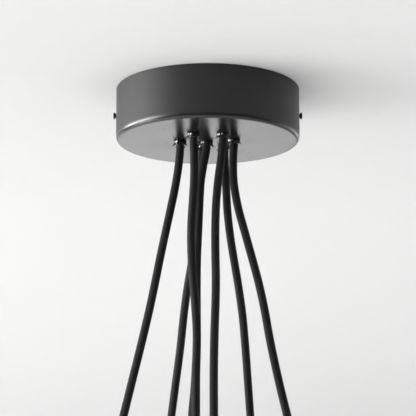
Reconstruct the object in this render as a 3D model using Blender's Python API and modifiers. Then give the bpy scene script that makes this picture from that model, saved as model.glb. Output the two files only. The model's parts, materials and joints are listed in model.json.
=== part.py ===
"""Cluster pendant light: a round canopy cup on a ceiling bracket, seven fabric
cords that leave it through moulded grips, and on each cord a lamp holder with
an open-bottomed glass globe and a bulb.

Metres, +Z up. The origin is the middle of the bracket's back face, which lies
against the ceiling; everything hangs below Z = 0. -Y is the front.
"""
import math

import bmesh
import bpy
from mathutils import Matrix, Vector

MM = 0.001

# ---------------------------------------------------------------- dimensions
# canopy cup, pressed steel
CUP_R = 90.0 * MM            # outer radius
CUP_H = 52.5 * MM            # outer height
CUP_WALL = 1.2 * MM
CUP_EDGE_R = 3.4 * MM        # the rolled bottom edge: how far it reaches inwards
CUP_EDGE_H = 6.2 * MM        # and upwards
CUP_SIDES = 56

# ceiling bracket, a strap with two ears turned down
STRAP_T = 2.0 * MM
STRAP_W = 22.0 * MM
STRAP_HALF = 87.6 * MM       # centre to the outer face of an ear
EAR_DROP = 36.0 * MM
FIXING_X = 42.0 * MM         # centre of each slot for the ceiling fixings
FIXING_LEN = 16.0 * MM
FIXING_W = 5.2 * MM

# side screws that hold the cup to the ears
SCREW_Z = -26.0 * MM
SCREW_R = 2.0 * MM
SCREW_HEAD_R = 3.5 * MM
SCREW_HEAD_H = 2.1 * MM
SCREW_STAND = 0.7 * MM       # how far a head stands off the cup
SCREW_TIP = 79.0 * MM        # radius that the tip reaches

# cords and the grips that they leave by
CORD_R = 3.75 * MM
CORD_TOP_Z = -38.0 * MM      # inside the cup
GRIP_BORE_R = 4.2 * MM
GRIP_HOLE_R = 5.3 * MM
GRIP_FLANGE_R = 6.4 * MM
GRIP_FLANGE_T = 2.1 * MM
GRIP_CROWN_H = 2.2 * MM
PIVOT_Z = -57.0 * MM         # where a cord starts to bend, in the grip's mouth
GAP = 0.3 * MM

# a pendant, measured down its own axis from the top of the cap
CAP_R = 19.0 * MM
CAP_H = 46.0 * MM
CAP_WALL = 1.2 * MM
NIPPLE_R = 6.2 * MM
CORD_IN_CAP = 4.0 * MM       # how far the cord runs into the cap's nipple
SHOULDER_T0 = 46.3 * MM
SHOULDER_T1 = 48.6 * MM
HOLDER_R = 14.0 * MM
HOLDER_END = 62.0 * MM
SOCKET_R = 7.6 * MM
GLASS_R = 52.0 * MM
GLASS_WALL = 2.5 * MM
GLASS_TOP = 48.9 * MM
GLASS_CENTRE = 98.5 * MM
GLASS_HOLE_R = 14.8 * MM
MOUTH_R = 32.0 * MM
BULB_R = 22.5 * MM
BULB_CENTRE = 91.0 * MM
BULB_BASE_R = 6.8 * MM

# Each cord's route in millimetres below its grip: the height, then where it
# hangs. It drops straight out of the grip, bows outwards, and its last stretch
# points down the axis of its pendant. The glass globes hold the cords apart.
ROUTES = {
    "A": [(-28.4, -2.5, -76), (-31.3, -2.5, -96), (-36, -2.3, -120), (-41.2, -2, -145),
          (-46.3, -1.6, -170), (-51.1, -1.2, -195), (-56.2, -0.8, -220), (-63, 0, -250),
          (-72.5, 0, -290), (-82, 0, -330), (-86.5, 0, -349)],
    "B": [(-6.5, 17.8, -76), (-7.4, 19.2, -96), (-9.1, 21.9, -120), (-12.3, 26.2, -145),
          (-16.3, 31.5, -170), (-20.7, 39, -195), (-24, 46.9, -220), (-27.4, 57, -250),
          (-33, 71.5, -290), (-38.5, 85.5, -330), (-41, 91.5, -349)],
    "C": [(-4.3, 0.3, -76), (-7.2, 0.4, -96), (-8.3, 0.8, -120), (-9.4, 1.6, -145),
          (-10.4, 2.5, -170), (-10.7, 3.8, -195), (-10.6, 5.1, -220), (-10.6, 7, -250),
          (-12.4, 9.5, -290), (-15.6, 12, -330), (-14.8, 13.5, -370),
          (-13.5, 14, -407)],
    "D": [(-13.2, -31, -76), (-13.1, -31, -96), (-14.4, -31, -120),
          (-15.8, -31.2, -145), (-15.6, -31.5, -170), (-14.1, -33.1, -195),
          (-12, -35.1, -220), (-10.3, -38.5, -250), (-11, -44.5, -290),
          (-11, -50.5, -330), (-10.5, -56, -370), (-10, -60.5, -410), (-9.5, -64, -450),
          (-9, -66, -492)],
    "E": [(13, -29.8, -76), (10.3, -30.4, -96), (8.1, -31.9, -120), (7.2, -34.6, -145),
          (7.2, -38, -170), (7.6, -43.3, -195), (7.3, -49.4, -220), (6.3, -58, -250),
          (5.5, -71, -290), (5.5, -85, -330), (5.5, -91.5, -349)],
    "F": [(17, 14.8, -76), (18.1, 16.3, -96), (19.5, 19.6, -120), (22.5, 24.4, -145),
          (26.7, 30, -170), (30.9, 35.6, -195), (34.3, 41.4, -220), (37, 48.5, -250),
          (40, 58, -290), (43, 67.5, -330), (44.5, 72, -349)],
    "G": [(24.7, -8, -76), (25.3, -7.9, -96), (29.3, -7.5, -120), (35.9, -6.6, -145),
          (42.7, -5.5, -170), (49.2, -4.1, -195), (54.5, -2.7, -220),
          (59.7, -1.2, -250), (68, 0, -290), (77.5, 0, -330), (82, 0, -349)],
}
# Where each grip sits in the canopy's underside: a loose ring and a middle one.
GRIP_AT = {
    "A": (-27, -2.5),
    "B": (-6, 17),
    "C": (-1.2, 0.3),
    "D": (-13.8, -31),
    "E": (14.7, -29.5),
    "F": (16.2, 14),
    "G": (25.4, -8),
}

# ------------------------------------------------------------------ scene
for old in list(bpy.data.objects):
    bpy.data.objects.remove(old, do_unlink=True)

PARTS = bpy.data.collections.new("cluster_pendant_light")
CUTTERS = bpy.data.collections.new("cutters")
bpy.context.scene.collection.children.link(PARTS)
bpy.context.scene.collection.children.link(CUTTERS)


def material(name, colour, roughness, metallic=0.0, alpha=1.0, transmission=0.0):
    made = bpy.data.materials.new(name)
    made.use_nodes = True
    shader = made.node_tree.nodes["Principled BSDF"]
    shader.inputs["Base Color"].default_value = (*colour, 1.0)
    shader.inputs["Roughness"].default_value = roughness
    shader.inputs["Metallic"].default_value = metallic
    shader.inputs["Alpha"].default_value = alpha
    shader.inputs["Transmission Weight"].default_value = transmission
    made.diffuse_color = (*colour, alpha)
    return made


BLACK_PAINT = material("black_paint", (0.022, 0.022, 0.023), 0.38)
ZINC = material("zinc_plate", (0.62, 0.62, 0.60), 0.35, 1.0)
BLACK_SCREW = material("black_screw", (0.015, 0.015, 0.015), 0.35, 0.6)
NYLON = material("black_nylon", (0.012, 0.012, 0.012), 0.25)
FABRIC = material("black_braid", (0.014, 0.014, 0.015), 0.85)
THERMOPLASTIC = material("holder_plastic", (0.02, 0.02, 0.02), 0.5)
WHITE_PLASTIC = material("terminal_plastic", (0.85, 0.85, 0.82), 0.45)
BRASS = material("brass", (0.72, 0.53, 0.25), 0.3, 1.0)
PVC = material("lead_insulation", (0.10, 0.10, 0.11), 0.5)
GLASS = material("clear_glass", (0.95, 0.97, 0.97), 0.03, 0.0, 0.35, 1.0)
BULB_GLASS = material("opal_bulb", (0.93, 0.92, 0.88), 0.25)


# ------------------------------------------------------------------ helpers
def link(obj, look=None, home=PARTS):
    home.objects.link(obj)
    if look is not None:
        obj.data.materials.clear()
        obj.data.materials.append(look)
    return obj


def as_cutter(obj):
    obj.hide_render = True
    obj.display_type = "WIRE"
    return obj


def turned(name, profile, sides, look=None, home=PARTS, closed=True):
    """A profile of (radius, z) points, turned round Z with a Screw modifier.
    The points run down the outer side, top to bottom."""
    mesh = bpy.data.meshes.new(name)
    points = [(r, 0.0, z) for r, z in profile]
    edges = [(i, i + 1) for i in range(len(points) - 1)]
    if closed:
        edges.append((len(points) - 1, 0))
    mesh.from_pydata(points, edges, [])
    obj = link(bpy.data.objects.new(name, mesh), look, home)
    screw = obj.modifiers.new("turn", "SCREW")
    screw.axis = "Z"
    screw.angle = 2 * math.pi
    screw.steps = sides
    screw.render_steps = sides
    screw.use_merge_vertices = True
    screw.merge_threshold = 0.00002
    screw.use_smooth_shade = True
    return obj


def cylinder(name, radius, depth, sides, place, look=None, home=PARTS):
    mesh = bpy.data.meshes.new(name)
    shape = bmesh.new()
    bmesh.ops.create_cone(shape, cap_ends=True, segments=sides, radius1=radius,
                          radius2=radius, depth=depth)
    shape.to_mesh(mesh)
    shape.free()
    obj = link(bpy.data.objects.new(name, mesh), look, home)
    obj.matrix_world = place
    return obj


def box(name, size, place, look=None, home=PARTS):
    mesh = bpy.data.meshes.new(name)
    shape = bmesh.new()
    bmesh.ops.create_cube(shape, size=1.0)
    bmesh.ops.scale(shape, vec=size, verts=shape.verts)
    shape.to_mesh(mesh)
    shape.free()
    obj = link(bpy.data.objects.new(name, mesh), look, home)
    obj.matrix_world = place
    return obj


def boolean(obj, other, operation="DIFFERENCE"):
    cut = obj.modifiers.new(other.name, "BOOLEAN")
    cut.operation = operation
    cut.solver = "EXACT"
    cut.object = other
    return cut


def settled(obj, name, look):
    """The evaluated shape of obj as a plain mesh object, welded; obj goes."""
    bpy.context.view_layer.update()
    graph = bpy.context.evaluated_depsgraph_get()
    mesh = bpy.data.meshes.new_from_object(obj.evaluated_get(graph))
    mesh.name = name
    shape = bmesh.new()
    shape.from_mesh(mesh)
    bmesh.ops.remove_doubles(shape, verts=shape.verts, dist=0.00001)
    shape.to_mesh(mesh)
    shape.free()
    made = link(bpy.data.objects.new(name, mesh), look)
    made.matrix_world = obj.matrix_world.copy()
    bpy.data.objects.remove(obj, do_unlink=True)
    return made


def outline(name, points, depth, place, look, home=PARTS):
    """A flat outline in its own XY, extruded by depth both ways about z = 0."""
    curve = bpy.data.curves.new(name, "CURVE")
    curve.dimensions = "2D"
    curve.fill_mode = "BOTH"
    curve.extrude = depth / 2
    line = curve.splines.new("POLY")
    line.points.add(len(points) - 1)
    for point, (x, y) in zip(line.points, points):
        point.co = (x, y, 0.0, 1.0)
    line.use_cyclic_u = True
    drawn = bpy.data.objects.new(name + "_outline", curve)
    home.objects.link(drawn)
    drawn.matrix_world = place
    made = settled(drawn, name, look)
    if home is not PARTS:
        PARTS.objects.unlink(made)
        home.objects.link(made)
    return made


def tube(name, points, radius, look, resolution=2):
    curve = bpy.data.curves.new(name, "CURVE")
    curve.dimensions = "3D"
    curve.bevel_depth = radius
    curve.bevel_resolution = resolution
    curve.use_fill_caps = True
    line = curve.splines.new("POLY")
    line.points.add(len(points) - 1)
    for point, where in zip(line.points, points):
        point.co = (*where, 1.0)
    return link(bpy.data.objects.new(name, curve), look)


def smooth_route(points, spacing):
    """Points every `spacing` along a centripetal Catmull-Rom curve."""
    knots = [Vector(p) for p in points]
    knots = [2 * knots[0] - knots[1]] + knots + [2 * knots[-1] - knots[-2]]
    fine = []
    for i in range(1, len(knots) - 2):
        p0, p1, p2, p3 = knots[i - 1:i + 3]
        t0 = 0.0
        t1 = t0 + (p1 - p0).length ** 0.5
        t2 = t1 + (p2 - p1).length ** 0.5
        t3 = t2 + (p3 - p2).length ** 0.5
        for step in range(16):
            t = t1 + (t2 - t1) * step / 16
            a1 = p0 * ((t1 - t) / (t1 - t0)) + p1 * ((t - t0) / (t1 - t0))
            a2 = p1 * ((t2 - t) / (t2 - t1)) + p2 * ((t - t1) / (t2 - t1))
            a3 = p2 * ((t3 - t) / (t3 - t2)) + p3 * ((t - t2) / (t3 - t2))
            b1 = a1 * ((t2 - t) / (t2 - t0)) + a2 * ((t - t0) / (t2 - t0))
            b2 = a2 * ((t3 - t) / (t3 - t1)) + a3 * ((t - t1) / (t3 - t1))
            fine.append(b1 * ((t2 - t) / (t2 - t1)) + b2 * ((t - t1) / (t2 - t1)))
    fine.append(knots[-2])
    lengths = [0.0]
    for a, b in zip(fine, fine[1:]):
        lengths.append(lengths[-1] + (b - a).length)
    count = max(2, round(lengths[-1] / spacing))
    out, j = [], 0
    for i in range(count + 1):
        want = lengths[-1] * i / count
        while j < len(fine) - 2 and lengths[j + 1] < want:
            j += 1
        span = lengths[j + 1] - lengths[j]
        out.append(fine[j].lerp(fine[j + 1], (want - lengths[j]) / span if span else 0.0))
    return out


def empty(name, place, parent=None):
    mark = bpy.data.objects.new(name, None)
    mark.empty_display_size = 0.02
    PARTS.objects.link(mark)
    if parent is not None:
        mark.parent = parent
        mark.matrix_parent_inverse = parent.matrix_world.inverted()
    mark.matrix_world = place
    bpy.context.view_layer.update()
    return mark


def attach(obj, parent):
    """Parent without moving; the child keeps its place in the world."""
    bpy.context.view_layer.update()
    place = obj.matrix_world.copy()
    obj.parent = parent
    obj.matrix_parent_inverse = parent.matrix_world.inverted()
    obj.matrix_world = place


def at(x, y, z):
    return Matrix.Translation((x, y, z))


# ------------------------------------------------------------- ceiling bracket
ALONG_X = Matrix.Rotation(math.pi / 2, 4, "Y")     # a cylinder's axis onto X
ALONG_Y = Matrix.Rotation(math.pi / 2, 4, "X")
SIDE_VIEW = Matrix.Rotation(math.pi / 2, 4, "X")   # outline (x, y) -> (x, z)

strap = outline(
    "ceiling_bracket",
    [(-STRAP_HALF, 0), (-STRAP_HALF, -EAR_DROP),
     (-STRAP_HALF + STRAP_T, -EAR_DROP), (-STRAP_HALF + STRAP_T, -STRAP_T),
     (STRAP_HALF - STRAP_T, -STRAP_T), (STRAP_HALF - STRAP_T, -EAR_DROP),
     (STRAP_HALF, -EAR_DROP), (STRAP_HALF, 0)],
    STRAP_W, SIDE_VIEW, ZINC)


def slot_outline(length, width, steps=6):
    points = []
    for side in (1, -1):
        for i in range(steps + 1):
            angle = side * math.pi / 2 * (2 * i / steps - 1) if side == 1 else \
                math.pi / 2 + math.pi * i / steps
            points.append((side * (length - width) / 2 + width / 2 * math.cos(angle),
                           width / 2 * math.sin(angle)))
    return points


for side in (-1, 1):
    slot = outline("fixing_slot_%s" % ("left" if side < 0 else "right"),
                   slot_outline(FIXING_LEN, FIXING_W), 0.008,
                   at(side * FIXING_X, 0, -STRAP_T / 2), None, CUTTERS)
    boolean(strap, as_cutter(slot))
    tapped = cylinder("tapped_hole_%s" % ("left" if side < 0 else "right"),
                      SCREW_R + 0.35 * MM, 0.01, 14,
                      at(side * (STRAP_HALF - STRAP_T / 2), 0, SCREW_Z) @ ALONG_X,
                      None, CUTTERS)
    boolean(strap, as_cutter(tapped))
BLOCK_SCREW_X = 5.0 * MM
EARTH_X = -66.0 * MM
for name, x in (("block_screw_hole", BLOCK_SCREW_X), ("earth_hole", EARTH_X)):
    hole = cylinder(name, 1.95 * MM, 0.01, 12,
                    at(x, 0, -STRAP_T / 2) @ Matrix.Rotation(0.2, 4, "Z"),
                    None, CUTTERS)
    boolean(strap, as_cutter(hole))

# ---------------------------------------------------------------- canopy cup
inner = CUP_R - CUP_WALL
inner_edge = CUP_EDGE_R - CUP_WALL
inner_rise = CUP_EDGE_H - CUP_WALL
profile = [(0, -CUP_H + CUP_WALL)]
for step in range(4):
    angle = math.pi / 2 * (1 - step / 3)
    profile.append((inner - inner_edge + inner_edge * math.cos(angle),
                    -CUP_H + CUP_WALL + inner_rise - inner_rise * math.sin(angle)))
profile += [(inner, 0), (CUP_R, 0)]
for step in range(5):
    angle = math.pi / 2 * step / 4
    profile.append((CUP_R - CUP_EDGE_R + CUP_EDGE_R * math.cos(angle),
                    -CUP_H + CUP_EDGE_H - CUP_EDGE_H * math.sin(angle)))
profile.append((0, -CUP_H))
cup = turned("canopy_cover", profile, CUP_SIDES, BLACK_PAINT, closed=False)

GRIPS = {key: Vector((x * MM, y * MM, -CUP_H)) for key, (x, y) in GRIP_AT.items()}
for key in sorted(GRIPS):
    x, y, z = GRIPS[key]
    hole = cylinder("grip_hole_" + key, GRIP_HOLE_R, 0.012, 16,
                    at(x, y, z), None, CUTTERS)
    boolean(cup, as_cutter(hole))
for side, name in ((-1, "left"), (1, "right")):
    hole = cylinder("screw_hole_" + name, SCREW_R + 0.45 * MM, 0.012, 14,
                    at(side * CUP_R, 0, SCREW_Z) @ ALONG_X, None, CUTTERS)
    boolean(cup, as_cutter(hole))

# --------------------------------------------------------------- side screws
head_in = CUP_R + SCREW_STAND
screw_profile = [
    (0, head_in + SCREW_HEAD_H), (SCREW_HEAD_R - 0.8 * MM, head_in + SCREW_HEAD_H),
    (SCREW_HEAD_R, head_in + SCREW_HEAD_H - 0.8 * MM), (SCREW_HEAD_R, head_in),
    (SCREW_R, head_in), (SCREW_R, SCREW_TIP + 0.8 * MM),
    (SCREW_R - 0.7 * MM, SCREW_TIP), (0, SCREW_TIP)]
for side, name in ((-1, "left"), (1, "right")):
    screw = turned("side_screw_" + name, screw_profile, 12, BLACK_SCREW, closed=False)
    screw.matrix_world = at(0, 0, SCREW_Z) @ Matrix.Rotation(side * math.pi / 2, 4, "Y")

# ---------------------------------------------------- inside the canopy cup
block = box("terminal_block", (30 * MM, 16 * MM, 12 * MM),
            at(0, 0, -STRAP_T - GAP - 6 * MM), WHITE_PLASTIC)
BLOCK_Z = -STRAP_T - GAP - 6 * MM
for i, x in enumerate((-10 * MM, 0.0, 10 * MM)):
    way = cylinder("terminal_way_%d" % (i + 1), 2.1 * MM, 0.03, 10,
                   at(x, 0, BLOCK_Z) @ ALONG_Y, None, CUTTERS)
    boolean(block, as_cutter(way))
way = cylinder("block_screw_way", 1.8 * MM, 0.03, 12,
               at(BLOCK_SCREW_X, 0, BLOCK_Z) @ Matrix.Rotation(0.2, 4, "Z"),
               None, CUTTERS)
boolean(block, as_cutter(way))


def small_screw(name, x, head_top, tip, shank, head, look):
    """A cheese-head screw, driven upwards: its head is below."""
    turned(name, [(0, tip), (shank, tip), (shank, head_top),
                  (head, head_top), (head, head_top - 1.6 * MM),
                  (head - 0.6 * MM, head_top - 2.2 * MM), (0, head_top - 2.2 * MM)],
           12, look, closed=False).location = (x, 0, 0)


small_screw("terminal_block_screw", BLOCK_SCREW_X, BLOCK_Z - 6 * MM - GAP, -GAP,
            1.4 * MM, 2.7 * MM, ZINC)
small_screw("earth_screw", EARTH_X, -STRAP_T - GAP, -GAP, 1.5 * MM, 3.4 * MM, BRASS)

# The cores of the seven cords meet in one crimped sleeve, and two leads go on
# from it to the terminal block.
SLEEVE_TOP = BLOCK_Z - 6 * MM - 6 * MM
bundle = cylinder("lead_sleeve_shape", 5.0 * MM, 9 * MM, 12,
                  at(0, 0, SLEEVE_TOP - 4.5 * MM), PVC)
leads = []
for key in sorted(GRIPS):
    x, y, _ = GRIPS[key]
    foot = Vector((x, y, CORD_TOP_Z + GAP))
    top = Vector((0, 0, SLEEVE_TOP - 5 * MM))
    if key == "C":
        points = [foot, top]
    else:
        points = [foot, foot + Vector((0, 0, 3.5 * MM)),
                  foot.lerp(top, 0.35) + Vector((0, 0, 2.5 * MM)),
                  foot.lerp(top, 0.7) + Vector((0, 0, 1.5 * MM)), top]
    leads.append(("lead_" + key, points, 1.7 * MM))
for side in (-1, 1):
    leads.append(("feed_%d" % side, [
        Vector((side * 2 * MM, 0, SLEEVE_TOP - 3 * MM)),
        Vector((side * 4.5 * MM, -4 * MM, SLEEVE_TOP + 1.2 * MM)),
        Vector((side * 8.5 * MM, -11 * MM, SLEEVE_TOP + 4.5 * MM)),
        Vector((side * 10 * MM, -13 * MM, BLOCK_Z - 1 * MM)),
        Vector((side * 10 * MM, -10 * MM, BLOCK_Z)),
        Vector((side * 10 * MM, -3.5 * MM, BLOCK_Z))], 1.2 * MM))
for name, points, radius in leads:
    lead = settled(tube(name + "_run", points, radius, PVC, 1), name, PVC)
    PARTS.objects.unlink(lead)
    CUTTERS.objects.link(lead)
    boolean(bundle, as_cutter(lead), "UNION")
bundle.name = "lead_bundle"

# ---------------------------------------------------------------- cord grips
# Snap-in nylon bush: barb inside the cup, flange below it, and a crown of six
# flared fingers round the cord.
flange_low = -GAP - GRIP_FLANGE_T
crown_low = flange_low - GRIP_CROWN_H
bush = turned("grip_bush", [
    (GRIP_BORE_R, 6 * MM), (4.9 * MM, 6 * MM), (5.9 * MM, 3.0 * MM),
    (5.9 * MM, 1.6 * MM), (4.9 * MM, 1.6 * MM), (4.9 * MM, -GAP),
    (GRIP_FLANGE_R, -GAP), (GRIP_FLANGE_R, flange_low + 0.5 * MM),
    (GRIP_FLANGE_R - 0.5 * MM, flange_low), (5.5 * MM, flange_low),
    (5.3 * MM, crown_low), (GRIP_BORE_R, crown_low)], 12, NYLON)
for i in range(6):
    turn = Matrix.Rotation(math.radians(60 * i), 4, "Z")
    lean = Matrix.Rotation(math.radians(38), 4, "Y")
    finger = box("grip_finger_%d" % i, (2.9 * MM, 2.2 * MM, 1.0 * MM),
                 turn @ at(5.75 * MM, 0, flange_low - 1.05 * MM) @ lean, None, CUTTERS)
    boolean(bush, as_cutter(finger), "UNION")
grip_shape = settled(bush, "cord_grip_A", NYLON)
grip_shape.location = GRIPS["A"]
for key in sorted(GRIPS):
    if key != "A":
        copy = link(bpy.data.objects.new("cord_grip_" + key, grip_shape.data))
        copy.location = GRIPS[key]

# ----------------------------------------------------- shapes of one pendant
# The cap's top is at z = 0 here and everything is below it.
cap_shape = turned("cap_shape", [
    (NIPPLE_R - 0.6 * MM, 0), (NIPPLE_R, -0.8 * MM), (NIPPLE_R, -9 * MM),
    (13 * MM, -12 * MM), (CAP_R, -20 * MM), (CAP_R, -CAP_H),
    (CAP_R - CAP_WALL, -CAP_H), (CAP_R - CAP_WALL, -20.6 * MM),
    (12.4 * MM, -13.3 * MM), (4.2 * MM, -10.5 * MM), (4.2 * MM, 0)], 14, BLACK_PAINT)
holder_shape = turned("holder_shape", [
    (0, -CORD_IN_CAP - GAP), (3.6 * MM, -CORD_IN_CAP - GAP), (3.6 * MM, -15 * MM),
    (10 * MM, -15 * MM), (14 * MM, -21 * MM), (14 * MM, -SHOULDER_T0),
    (CAP_R, -SHOULDER_T0), (CAP_R, -SHOULDER_T1), (HOLDER_R, -SHOULDER_T1),
    (HOLDER_R, -HOLDER_END), (SOCKET_R, -HOLDER_END), (SOCKET_R, -33 * MM),
    (0, -33 * MM)], 12, THERMOPLASTIC, closed=False)


def on_sphere(radius, degrees):
    """A point of a sphere round the globe's centre, degrees from its top."""
    return (radius * math.sin(math.radians(degrees)),
            -GLASS_CENTRE + radius * math.cos(math.radians(degrees)))


mouth_out = 180 - math.degrees(math.asin(MOUTH_R / GLASS_R))
mouth_in = 180 - math.degrees(math.asin(MOUTH_R / (GLASS_R - GLASS_WALL)))
outer_side = [on_sphere(GLASS_R, 25 + (mouth_out - 25) * i / 5) for i in range(6)]
inner_side = [on_sphere(GLASS_R - GLASS_WALL, mouth_in - (mouth_in - 27) * i / 5)
              for i in range(6)]
globe_shape = turned(
    "globe_shape", [(GLASS_HOLE_R, -GLASS_TOP)] + outer_side + inner_side +
    [(GLASS_HOLE_R, -GLASS_TOP - GLASS_WALL)], 14, GLASS)
ring_top = GLASS_TOP + GLASS_WALL + 0.9 * MM
ring_shape = turned("ring_shape", [
    (HOLDER_R + 0.6 * MM, -ring_top), (15.8 * MM, -ring_top),
    (18.2 * MM, -ring_top - 1.7 * MM), (18.2 * MM, -ring_top - 6.5 * MM),
    (HOLDER_R + 0.6 * MM, -ring_top - 6.5 * MM)], 12, BLACK_PAINT)
bulb_profile = [(0, -33.6 * MM), (4.5 * MM, -33.6 * MM), (BULB_BASE_R, -37 * MM),
                (BULB_BASE_R, -60 * MM), (8.5 * MM, -65 * MM)]
for degrees in (50, 76, 102, 128, 154):
    bulb_profile.append((BULB_R * math.sin(math.radians(degrees)),
                         -BULB_CENTRE + BULB_R * math.cos(math.radians(degrees))))
bulb_profile.append((0, -BULB_CENTRE - BULB_R))
bulb_shape = turned("bulb_shape", bulb_profile, 12, BULB_GLASS, closed=False)

SHAPES = {}
for name, shape, look in (("lamp_cap", cap_shape, BLACK_PAINT),
                          ("lamp_holder", holder_shape, THERMOPLASTIC),
                          ("glass_globe", globe_shape, GLASS),
                          ("shade_ring", ring_shape, BLACK_PAINT),
                          ("bulb", bulb_shape, BULB_GLASS)):
    made = settled(shape, name + "_A", look)
    SHAPES[name] = made

# -------------------------------------------------------- the seven pendants
for key in sorted(ROUTES):
    x, y, _ = GRIPS[key]
    route = [Vector((x, y, CORD_TOP_Z)), Vector((x, y, -58 * MM))]
    route += [Vector(p) * MM for p in ROUTES[key]]
    line = smooth_route(route, 20.5 * MM)
    end = line[-1]
    down = (route[-1] - route[-2]).normalized()
    swing = empty("swing_" + key, at(x, y, PIVOT_Z))
    lean = down.to_track_quat("-Z", "Y").to_matrix().to_4x4()
    hang = empty("hang_" + key,
                 Matrix.Translation(end - down * CORD_IN_CAP) @ lean, swing)
    cord = tube("cord_" + key, line, CORD_R, FABRIC)
    attach(cord, swing)
    for name, shape in SHAPES.items():
        piece = shape if key == "A" else link(
            bpy.data.objects.new("%s_%s" % (name, key), shape.data))
        piece.matrix_world = hang.matrix_world.copy()
        attach(piece, hang)

# ------------------------------------------------------------------- shading
for obj in PARTS.objects:
    if obj.type == "MESH" and not obj.modifiers:
        obj.data.shade_smooth()
        obj.data.set_sharp_from_angle(angle=math.radians(35))
bpy.context.view_layer.update()
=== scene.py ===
"""Looks of the cluster pendant light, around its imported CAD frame."""
import json
import math

import bmesh
import bpy
import numpy as np
from mathutils import Matrix, Vector

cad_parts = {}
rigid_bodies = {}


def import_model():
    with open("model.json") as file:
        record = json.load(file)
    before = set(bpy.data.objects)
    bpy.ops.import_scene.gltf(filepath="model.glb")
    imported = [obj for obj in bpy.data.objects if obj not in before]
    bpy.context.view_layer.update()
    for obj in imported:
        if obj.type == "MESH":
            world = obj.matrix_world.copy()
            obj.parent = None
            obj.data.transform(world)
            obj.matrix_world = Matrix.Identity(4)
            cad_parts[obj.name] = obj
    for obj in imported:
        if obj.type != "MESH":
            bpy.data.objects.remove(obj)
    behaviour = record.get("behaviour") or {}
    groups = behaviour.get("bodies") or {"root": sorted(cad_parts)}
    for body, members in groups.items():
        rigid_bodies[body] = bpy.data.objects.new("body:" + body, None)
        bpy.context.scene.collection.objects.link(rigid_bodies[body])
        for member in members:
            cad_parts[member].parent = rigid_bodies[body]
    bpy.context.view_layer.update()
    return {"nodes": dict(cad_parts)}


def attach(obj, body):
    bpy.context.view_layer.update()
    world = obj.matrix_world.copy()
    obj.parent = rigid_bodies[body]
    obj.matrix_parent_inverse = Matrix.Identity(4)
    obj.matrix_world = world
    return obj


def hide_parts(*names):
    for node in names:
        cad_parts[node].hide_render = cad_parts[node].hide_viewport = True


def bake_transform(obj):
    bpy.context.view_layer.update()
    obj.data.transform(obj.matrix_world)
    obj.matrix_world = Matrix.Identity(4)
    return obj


for old in list(bpy.data.objects):
    bpy.data.objects.remove(old, do_unlink=True)
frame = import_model()
NODES = frame["nodes"]
MM = 0.001

# ------------------------------------------------------------ sizes, as in CAD
CUP_R, CUP_H, CUP_WALL, CUP_EDGE_R, CUP_EDGE_H = 90.0, 52.5, 1.2, 3.4, 6.2
SCREW_Z = -26.0
CORD_R = 3.75
CORD_TOP_Z = -38.0
PIVOT_Z = -57.0
CORD_IN_CAP = 4.0
GLASS_R, GLASS_WALL, GLASS_TOP, GLASS_CENTRE = 52.0, 2.5, 48.9, 98.5
GLASS_HOLE_R, MOUTH_R = 14.8, 32.0
# the cords' routes below the grips, millimetres, as in CAD
ROUTES = {
    "A": [(-28.4, -2.5, -76), (-31.3, -2.5, -96), (-36, -2.3, -120), (-41.2, -2, -145),
          (-46.3, -1.6, -170), (-51.1, -1.2, -195), (-56.2, -0.8, -220), (-63, 0, -250),
          (-72.5, 0, -290), (-82, 0, -330), (-86.5, 0, -349)],
    "B": [(-6.5, 17.8, -76), (-7.4, 19.2, -96), (-9.1, 21.9, -120), (-12.3, 26.2, -145),
          (-16.3, 31.5, -170), (-20.7, 39, -195), (-24, 46.9, -220), (-27.4, 57, -250),
          (-33, 71.5, -290), (-38.5, 85.5, -330), (-41, 91.5, -349)],
    "C": [(-4.3, 0.3, -76), (-7.2, 0.4, -96), (-8.3, 0.8, -120), (-9.4, 1.6, -145),
          (-10.4, 2.5, -170), (-10.7, 3.8, -195), (-10.6, 5.1, -220), (-10.6, 7, -250),
          (-12.4, 9.5, -290), (-15.6, 12, -330), (-14.8, 13.5, -370),
          (-13.5, 14, -407)],
    "D": [(-13.2, -31, -76), (-13.1, -31, -96), (-14.4, -31, -120),
          (-15.8, -31.2, -145), (-15.6, -31.5, -170), (-14.1, -33.1, -195),
          (-12, -35.1, -220), (-10.3, -38.5, -250), (-11, -44.5, -290),
          (-11, -50.5, -330), (-10.5, -56, -370), (-10, -60.5, -410), (-9.5, -64, -450),
          (-9, -66, -492)],
    "E": [(13, -29.8, -76), (10.3, -30.4, -96), (8.1, -31.9, -120), (7.2, -34.6, -145),
          (7.2, -38, -170), (7.6, -43.3, -195), (7.3, -49.4, -220), (6.3, -58, -250),
          (5.5, -71, -290), (5.5, -85, -330), (5.5, -91.5, -349)],
    "F": [(17, 14.8, -76), (18.1, 16.3, -96), (19.5, 19.6, -120), (22.5, 24.4, -145),
          (26.7, 30, -170), (30.9, 35.6, -195), (34.3, 41.4, -220), (37, 48.5, -250),
          (40, 58, -290), (43, 67.5, -330), (44.5, 72, -349)],
    "G": [(24.7, -8, -76), (25.3, -7.9, -96), (29.3, -7.5, -120), (35.9, -6.6, -145),
          (42.7, -5.5, -170), (49.2, -4.1, -195), (54.5, -2.7, -220),
          (59.7, -1.2, -250), (68, 0, -290), (77.5, 0, -330), (82, 0, -349)],
}
# Where each grip sits in the canopy's underside: a loose ring and a middle one.
GRIP_AT = {
    "A": (-27, -2.5),
    "B": (-6, 17),
    "C": (-1.2, 0.3),
    "D": (-13.8, -31),
    "E": (14.7, -29.5),
    "F": (16.2, 14),
    "G": (25.4, -8),
}
GRIPS = {key: Vector((x, y, -CUP_H)) for key, (x, y) in GRIP_AT.items()}


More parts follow.
